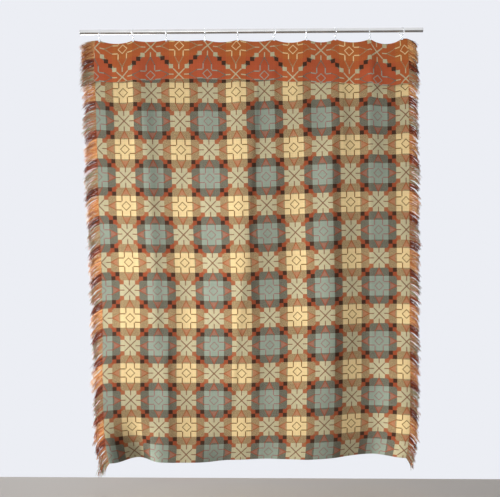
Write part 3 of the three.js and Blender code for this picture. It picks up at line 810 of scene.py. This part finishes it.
def build_fringe(name, points, flat, side):
    """One side's fringe: strands that leave the edge, bend down and taper to a ragged end."""
    column = 0 if side < 0 else -1
    edge, along = points[:, column], flat[:, column, 1]
    inner = points[:, 1] if side < 0 else points[:, -2]
    out = unit(edge - inner)
    normal = reverse_normals(points)[:, column]
    droop_levels, length_levels = FRINGE_HANG[name]

    count = int(CLOTH_LENGTH / STRAND_PITCH)
    place = (np.arange(count) + rng.uniform(*STRAND_PLACE, count)) * STRAND_PITCH
    at = lambda values: np.stack(
        [np.interp(place, along, values[:, axis]) for axis in range(3)], axis=1
    )
    root, out, normal = at(edge), unit(at(out)), unit(at(normal))
    down = np.clip((CLOTH_TOP - root[:, 2]) / (CLOTH_LENGTH - FLAP_LENGTH[0]), 0, 1)

    wander = BUNCH_WANDER * np.sin(place / BUNCH_WANDER_LENGTH)
    bunch = (place / BUNCH_PITCH + wander).astype(int)
    per_bunch = lambda spread: rng.normal(0, spread, bunch.max() + 1)[bunch]
    uneven = lambda spread: per_bunch(spread[0]) + rng.normal(0, spread[1], count)
    length = smooth_curve(FRINGE_LEVELS, length_levels, down)
    length = length * (1 + uneven(LENGTH_SPREAD))
    droop = smooth_curve(FRINGE_LEVELS, droop_levels, down)
    droop = droop + uneven(DROOP_SPREAD)

    # The short first segment keeps the shading of the cut end off the rest of the strand
    share = np.concatenate([[0], np.linspace(0.01, 1, STRAND_SEGMENTS)])
    middle = (share[1:] + share[:-1]) / 2
    angle = np.radians(droop[:, None] + smooth_curve(*LOCK_BEND, middle))
    heading = (
        out[:, None] * np.cos(angle)[..., None]
        + np.array([0, 0, -1]) * np.sin(angle)[..., None]
    )
    step = heading * (length[:, None] * np.diff(share))[..., None]
    path = np.concatenate([np.zeros((count, 1, 3)), np.cumsum(step, axis=1)], axis=1)
    path += (root - out * STRAND_ROOT_DEPTH - normal * STRAND_FORWARD)[:, None]

    edge_run = unit(np.cross(normal, out))
    centre = (np.bincount(bunch, place) / np.bincount(bunch))[bunch]
    run_sign = np.sign(np.sum(np.gradient(root, axis=0) * edge_run, axis=1))
    pull = (centre - place) * run_sign * BUNCH_PULL
    start = rng.uniform(0, 2 * math.pi, (2, count, 1))
    wave = start + share * rng.uniform(*WAVER_TURN, (2, count, 1))
    waver = np.sin(wave) * share**1.6 * rng.uniform(*WAVER_REACH, (2, count, 1))
    drift = STRAND_DRIFT + uneven(DRIFT_SPREAD)
    path += edge_run[:, None] * (pull[:, None] * share**0.8 + waver[0])[..., None]
    path += normal[:, None] * (drift[:, None] * share**1.4 + waver[1])[..., None]

    radii = mix(STRAND_RADIUS, STRAND_TIP_RADIUS, share**1.5)[None]
    radii = radii * rng.uniform(*RADIUS_SPREAD, (count, 1))
    verts, walls, caps = tubes(path, radii, STRAND_SIDES, normal)
    mesh = make_mesh("fringe_yarn_" + name, verts, np.concatenate([walls, caps]))

    dyes_and_shade = np.array([[hex_colour(code) for code in pair] for pair in FRINGE_DYES_AND_SHADE])
    dye_and_shade = dyes_and_shade[band_of(place), rng.integers(0, 2, count)]
    dye_and_shade[:, :3] *= rng.uniform(*STRAND_SHADE, (count, 1)) * (1 + per_bunch(BUNCH_SHADE))[:, None]
    colours = mesh.color_attributes.new("dye_and_shade", "FLOAT_COLOR", "POINT")
    colours.data.foreach_set(
        "color", np.repeat(dye_and_shade, (STRAND_SEGMENTS + 1) * STRAND_SIDES, axis=0).ravel()
    )

    cells = math.ceil(math.sqrt(count))
    corner = np.array([(0, 0), (1, 0), (1, 1), (0, 1)])
    unit_walls = [
        (corner + (side, segment)) * CELL_STEP + CELL_MARGIN
        for segment in range(STRAND_SEGMENTS)
        for side in range(STRAND_SIDES)
    ]
    unit_caps = [corner * CELL_END_SIZE + end for end in CELL_ENDS]
    cell = np.stack([np.arange(count) % cells, np.arange(count) // cells], axis=1)
    wall_places = cell[:, None, None] + np.array(unit_walls)
    cap_places = cell[:, None] + np.array(unit_caps)[:, None]
    set_map(
        mesh,
        "OFBake",
        np.concatenate([wall_places.reshape(-1, 2), cap_places.reshape(-1, 2)]) / cells,
    )
    return mesh


def fringe_wool():
    """Cut warp ends of carded wool: hairy, matt and a little worn, each in its own dye."""
    material, tree = new_material("wool fringe yarn")
    # Each strand's colour, with the painted shade among the crowded strands in it
    dye_and_shade = add(tree, "Attribute", attribute_name="dye_and_shade").outputs["Color"]
    place = add(tree, "TexCoord").outputs["Object"]
    fibres = add(
        tree,
        "TexNoise",
        {"Vector": place, "Scale": 1 / (FRINGE_FIBRE_SIZE * METRES), "Detail": 2.0},
    ).outputs["Fac"]
    shade = add(tree, "MapRange", {"Value": fibres, "To Min": 0.75, "To Max": 1.25}).outputs[0]
    colour = add(tree, "VectorMath", {0: dye_and_shade, "Scale": shade}, operation="SCALE").outputs[0]
    bump = add(tree, "Bump", {"Strength": 0.5, "Distance": 0.3 * METRES, "Height": fibres}).outputs[0]
    wool = add(
        tree,
        "BsdfPrincipled",
        {
            "Base Color": colour,
            "Roughness": 0.9,
            "IOR": 1.55,
            "Specular IOR Level": 0.2,
            "Sheen Weight": 0.08,
            "Sheen Roughness": 0.5,
            "Normal": bump,
        },
    ).outputs[0]
    add(tree, "OutputMaterial", {"Surface": wool})
    return material


# Rod, rings, links and clips


def join(shapes):
    """The points and faces of many closed shapes as one."""
    points, faces, total = [], [], 0
    for shape_points, shape_faces in shapes:
        points.append(shape_points)
        faces += [[total + corner for corner in face] for face in shape_faces]
        total += len(shape_points)
    return np.concatenate(points), faces


def turned(profile, closed):
    """A shape turned about the rod's axis, from places along the axis with their radii."""
    profile = np.asarray(profile, float)
    angles = np.arange(TURNED_STEPS) * 2 * math.pi / TURNED_STEPS
    along = np.broadcast_to(profile[:, :1], (len(profile), TURNED_STEPS))
    points = np.stack(
        [along, profile[:, 1:] * np.cos(angles), profile[:, 1:] * np.sin(angles)], axis=-1
    )
    number = np.arange(along.size).reshape(along.shape)
    here, after = number, np.roll(number, -1, axis=1)
    next_here, next_after = np.roll(here, -1, axis=0), np.roll(after, -1, axis=0)
    walls = np.stack([here, after, next_after, next_here], axis=-1)
    if closed:
        return points.reshape(-1, 3), walls.reshape(-1, 4).tolist()
    ends = [number[0, ::-1].tolist(), number[-1].tolist()]
    return points.reshape(-1, 3), walls[:-1].reshape(-1, 4).tolist() + ends


def sweep(sections, closed):
    """A shape with the same number of points in each of its sections."""
    count, around = sections.shape[:2]
    number = np.arange(count * around).reshape(count, around)
    after = np.roll(number, -1, axis=1)
    next_here, next_after = np.roll(number, -1, axis=0), np.roll(after, -1, axis=0)
    walls = np.stack([number, next_here, next_after, after], axis=-1)
    if closed:
        return sections.reshape(-1, 3), walls.reshape(-1, 4).tolist()
    ends = [number[0].tolist(), number[-1, ::-1].tolist()]
    return sections.reshape(-1, 3), walls[:-1].reshape(-1, 4).tolist() + ends


def hoop(centre, axis, radius, wire):
    """Round wire bent to a closed ring about an axis that lies level."""
    turns = np.arange(TURNED_STEPS)[:, None, None] * 2 * math.pi / TURNED_STEPS
    rounds = np.arange(WIRE_STEPS)[None, :, None] * 2 * math.pi / WIRE_STEPS
    axis = unit(np.array(axis, float))
    level = np.cross((0, 0, 1), axis)
    out = np.cos(turns) * level + np.sin(turns) * np.array([0, 0, 1])
    return sweep(
        np.array(centre) + out * (radius + wire * np.cos(rounds)) + axis * wire * np.sin(rounds),
        closed=True,
    )


def strap(path, half_widths, thickness):
    """Flat spring steel bent along a path of depths and heights, with its edges rounded off."""
    path = np.asarray(path, float)
    half_widths = np.asarray(half_widths, float)[:, None, None]
    heading = unit(np.gradient(path, axis=0))
    aside = np.stack([-heading[:, 1], heading[:, 0]], axis=1)[:, None]
    half, bevel = thickness / 2, thickness / 4
    corners = np.array([
        (1, -1, 0), (1, 1, 0), (1, 1, 1), (-1, 1, 1), (-1, 1, 0), (-1, -1, 0), (-1, -1, 1), (1, -1, 1),
    ])
    x = corners[:, :1] * (half_widths - bevel * corners[:, 2:])
    lift = corners[:, 1:2] * (half - bevel * (1 - corners[:, 2:]))
    flat = path[:, None] + aside * lift
    return sweep(np.concatenate([x, flat], axis=-1), closed=False)


def along_path(path, steps):
    """The points of a table's path, with as many smooth steps between each two."""
    path = np.asarray(path, float)
    places = np.arange(len(path))
    at = np.linspace(0, len(path) - 1, (len(path) - 1) * steps + 1)
    return np.stack([smooth_curve(places, column, at) for column in path.T], axis=1)


def add_metal(name, shapes, material, replaced, offset=0):
    """A metal piece, moved along the rod to its place, with its sharp edges kept sharp."""
    points, faces = join(shapes)
    mesh = bpy.data.meshes.new(name)
    mesh.from_pydata(((points + (offset, 0, 0)) * METRES).tolist(), [], faces)
    mesh.shade_smooth()
    mesh.set_sharp_from_angle(angle=math.radians(SHARP_ANGLE))
    return add_piece(name, mesh, [material], [replaced])


def build_rod():
    """A drawn steel tube with its cut ends broken, and a turned plug pressed in each."""
    end = ROD_LENGTH / 2 - PLUG_HEAD - SEAT_GAP
    bore = ROD_RADIUS - ROD_WALL
    outer = [(-end, ROD_RADIUS - ROD_CHAMFER), (-end + ROD_CHAMFER, ROD_RADIUS)]
    inner = [(-end, bore)]
    mirrored = lambda places: [(-along, radius) for along, radius in places[::-1]]
    add_metal(
        "steel_rod",
        [turned(outer + mirrored(outer) + mirrored(inner) + inner, closed=True)],
        brushed_steel("brushed stainless steel tube", GRAIN_ALONG),
        "rod",
    )
    plug_steel = brushed_steel("turned stainless steel", GRAIN_ROUND)
    face = ROD_LENGTH / 2
    head = face - PLUG_HEAD
    spigot = bore - SEAT_GAP
    turns = np.radians(np.arange(0, 91, 15))
    for name, side in (("left", -1), ("right", 1)):
        start = head - PLUG_SPIGOT
        profile = [(start, spigot - PLUG_LEAD), (start + PLUG_LEAD, spigot)]
        profile += [(head, spigot), (head, ROD_RADIUS)]
        profile += [
            (face - PLUG_ROUND * (1 - math.sin(turn)), ROD_RADIUS - PLUG_ROUND * (1 - math.cos(turn)))
            for turn in turns
        ]
        profile = [(along * side, radius) for along, radius in profile][::side]
        add_metal(
            "end_plug_" + name,
            [turned(profile, closed=False)],
            plug_steel,
            "rod_plug_" + name,
        )


def build_clip():
    """A spring clip: an eye of wire, and two leaves bent round the fold of the cloth."""
    shapes = [hoop((0, 0, CLIP_EYE_CENTRE), (1, 0, 0), CLIP_EYE_RADIUS, CLIP_EYE_WIRE)]
    leaf = along_path(LEAF, LEAF_STEPS)
    for side in (-1, 1):
        shapes.append(strap(leaf[:, :2] * (side, 1), leaf[:, 2], CLIP_THICKNESS))
    roof_height = CLIP_ROOF + CLIP_THICKNESS / 2
    roof = [(share * CLIP_JAW_MIDDLE, roof_height) for share in (-1, -0.5, 0, 0.5, 1)]
    shapes.append(strap(roof, [CLIP_ROOF_HALF_WIDTH] * len(roof), CLIP_THICKNESS))
    return shapes


def ring_place(across):
    """Where along the rod a clip holds the fold of the cloth."""
    top_row = FLAP_STEPS + FOLD_STEPS // 2
    return np.interp(across, cloth_flat[top_row, :, 0], cloth_points[top_row, :, 0])


def build_rings():
    chrome = chrome_plate()
    for index, (across, turn) in enumerate(zip(CLIP_ACROSS, CLIP_TURN)):
        number = f"{index + 1:02d}"
        place = ring_place(across)
        axis = (math.cos(math.radians(turn)), math.sin(math.radians(turn)), 0)
        for name, shapes in (
            ("ring", [hoop((0, 0, RING_CENTRE), axis, RING_RADIUS, RING_WIRE)]),
            ("link", [hoop((0, 0, LINK_CENTRE), (0, 1, 0), LINK_RADIUS, LINK_WIRE)]),
            ("clip", build_clip()),
        ):
            add_metal(
                f"chrome_{name}_{number}", shapes, chrome, f"{name}_{number}", place
            )


# Sizes along each axis of the steel's scratches, on the tube and on a plug, and the sizes of its
# worn patches and of the smears on the chrome
GRAIN_ALONG = (167, 1.11, 1.11)
GRAIN_ROUND = (3.33, 8.33, 8.33)
WEAR_SIZE = 71
SMEAR_SIZE = 6.25


def brushed_steel(name, grain):
    """Stainless steel brushed with a belt: fine scratches that blur what it mirrors.

    On the tube they run along it, and on a turned plug round its axis. They are some 0.3 mm
    apart, too fine to show, so they are drawn at least a millimetre apart.
    """
    material, tree = new_material(name)
    place = add(tree, "TexCoord").outputs["Object"]
    stretch = [1 / (length * METRES) for length in grain]
    lines = add(tree, "VectorMath", {0: place, 1: stretch}, operation="MULTIPLY").outputs[0]
    lines = add(tree, "TexNoise", {"Vector": lines, "Scale": 1.0, "Detail": 3.0}).outputs["Fac"]
    roughness = add(tree, "MapRange", {"Value": lines, "To Min": 0.18, "To Max": 0.4}).outputs[0]
    wear = add(
        tree, "TexNoise", {"Vector": place, "Scale": 1 / (WEAR_SIZE * METRES), "Detail": 3.0}
    ).outputs["Fac"]
    colour = add(
        tree,
        "Mix",
        {"Factor": wear, 6: hex_colour("#B9B8B4"), 7: hex_colour("#D2D1CE")},
        data_type="RGBA",
    ).outputs[2]
    bump = add(tree, "Bump", {"Strength": 0.15, "Distance": 0.05 * METRES, "Height": lines}).outputs[0]
    metal = add(
        tree,
        "BsdfPrincipled",
        {"Base Color": colour, "Metallic": 1.0, "Roughness": roughness, "Normal": bump},
    ).outputs[0]
    add(tree, "OutputMaterial", {"Surface": metal})
    return material


def chrome_plate():
    """Bright chrome over bent wire and spring steel, a little dulled where it has been handled."""
    material, tree = new_material("chrome plate")
    place = add(tree, "TexCoord").outputs["Object"]
    smears = add(
        tree, "TexNoise", {"Vector": place, "Scale": 1 / (SMEAR_SIZE * METRES), "Detail": 4.0}
    ).outputs["Fac"]
    roughness = add(tree, "MapRange", {"Value": smears, "To Min": 0.06, "To Max": 0.24}).outputs[0]
    colour = add(
        tree,
        "Mix",
        {"Factor": smears, 6: hex_colour("#C9CBCD"), 7: hex_colour("#DFE1E2")},
        data_type="RGBA",
    ).outputs[2]
    metal = add(
        tree, "BsdfPrincipled", {"Base Color": colour, "Metallic": 1.0, "Roughness": roughness}
    ).outputs[0]
    add(tree, "OutputMaterial", {"Surface": metal})
    return material


def make_camera():
    data = bpy.data.cameras.new("camera")
    data.sensor_width = SENSOR_WIDTH
    data.lens = SENSOR_WIDTH * FOCAL_PIXELS / PICTURE_WIDTH
    data.clip_end = 50
    camera = bpy.data.objects.new("camera", data)
    camera.location = [value * METRES for value in CAMERA_PLACE]
    camera.rotation_euler = [
        math.radians(angle) for angle in (90 + CAMERA_PITCH, CAMERA_ROLL, CAMERA_TURN)
    ]
    bpy.context.scene.collection.objects.link(camera)
    bpy.context.scene.camera = camera


FLOOR_Z = -2475
FLOOR_BACK = 75
FLOOR_REACH = 6000

# How bright the surround is: what the metal mirrors below and above, what falls on the cloth
# from all sides, and what the camera sees behind the blanket
MIRRORED_BELOW = 0.25
MIRRORED_ABOVE = 1.5
FILL = 0.26
BACKDROP = 1.0


def make_stage():
    """A plain pale floor and surround, a large light at the left, and others before and behind."""
    points = [(-FLOOR_REACH, -FLOOR_REACH, FLOOR_Z), (FLOOR_REACH, -FLOOR_REACH, FLOOR_Z)]
    points += [(FLOOR_REACH, FLOOR_BACK, FLOOR_Z), (-FLOOR_REACH, FLOOR_BACK, FLOOR_Z)]
    mesh = make_mesh("floor", points, [(0, 1, 2, 3)])
    material, tree = new_material("pale floor")
    matt = add(
        tree, "BsdfPrincipled", {"Base Color": hex_colour("#C9C3BD"), "Roughness": 0.8}
    ).outputs[0]
    add(tree, "OutputMaterial", {"Surface": matt})
    mesh.materials.append(material)
    floor = bpy.data.objects.new("floor", mesh)
    bpy.context.scene.collection.objects.link(floor)

    world = bpy.data.worlds.new("pale surround")
    world.use_nodes = True
    tree = world.node_tree
    tree.nodes.clear()
    # The metal mirrors a surround that is dim below and bright beside and above
    heading = add(tree, "SeparateXYZ", {0: add(tree, "TexCoord").outputs["Generated"]})
    mirrored = add(
        tree,
        "MapRange",
        {
            "Value": heading.outputs["Z"],
            "From Min": -0.85,
            "From Max": -0.35,
            "To Min": MIRRORED_BELOW,
            "To Max": MIRRORED_ABOVE,
        },
    ).outputs[0]
    ray = add(tree, "LightPath")
    strength = add(
        tree,
        "Mix",
        {"Factor": ray.outputs["Is Glossy Ray"], 2: FILL, 3: mirrored},
        data_type="FLOAT",
    ).outputs[0]
    strength = add(
        tree,
        "Mix",
        {"Factor": ray.outputs["Is Camera Ray"], 2: strength, 3: BACKDROP},
        data_type="FLOAT",
    ).outputs[0]
    surround = add(
        tree, "Background", {"Color": hex_colour("#ECEEF4"), "Strength": strength}
    ).outputs[0]
    add(tree, "OutputWorld", {"Surface": surround})
    bpy.context.scene.world = world

    for name, place, towards, size, spread, watts, colour in (
        ("window light", (-6900, -2500, -1500), (900, 0, -1350), 2400, 36, 84, "#FFFDF8"),
        ("room light", (-700, -3900, -1300), (0, 0, -1200), 1500, 180, 20, "#FFFFFF"),
        ("light behind", (-2500, 4500, -600), (0, 0, -1200), 2500, 180, 200, "#FFFFFF"),
    ):
        data = bpy.data.lights.new(name, "AREA")
        data.size = size * METRES
        data.spread = math.radians(spread)
        data.energy = watts
        data.color = hex_colour(colour)[:3]
        light = bpy.data.objects.new(name, data)
        light.location = [value * METRES for value in place]
        aim = np.array(towards) - np.array(place)
        light.rotation_euler = (
            math.pi - math.atan2(math.hypot(aim[0], aim[1]), aim[2]),
            0,
            math.atan2(aim[1], aim[0]) - math.pi / 2,
        )
        bpy.context.scene.collection.objects.link(light)
    bpy.context.scene.view_settings.view_transform = "Standard"


make_camera()
make_stage()
cloth_points, cloth_flat = cloth_grid()
blanket = add_piece(
    "woven_blanket",
    build_blanket(cloth_points, cloth_flat),
    [double_cloth(reverse=False), double_cloth(reverse=True)],
    ["blanket"],
)
yarn = fringe_wool()
fringes = [
    add_piece(
        "fringe_yarn_" + name,
        build_fringe(name, cloth_points, cloth_flat, side),
        [yarn],
        ["fringe_" + name],
    )
    for name, side in (("left", -1), ("right", 1))
]
build_rod()
build_rings()
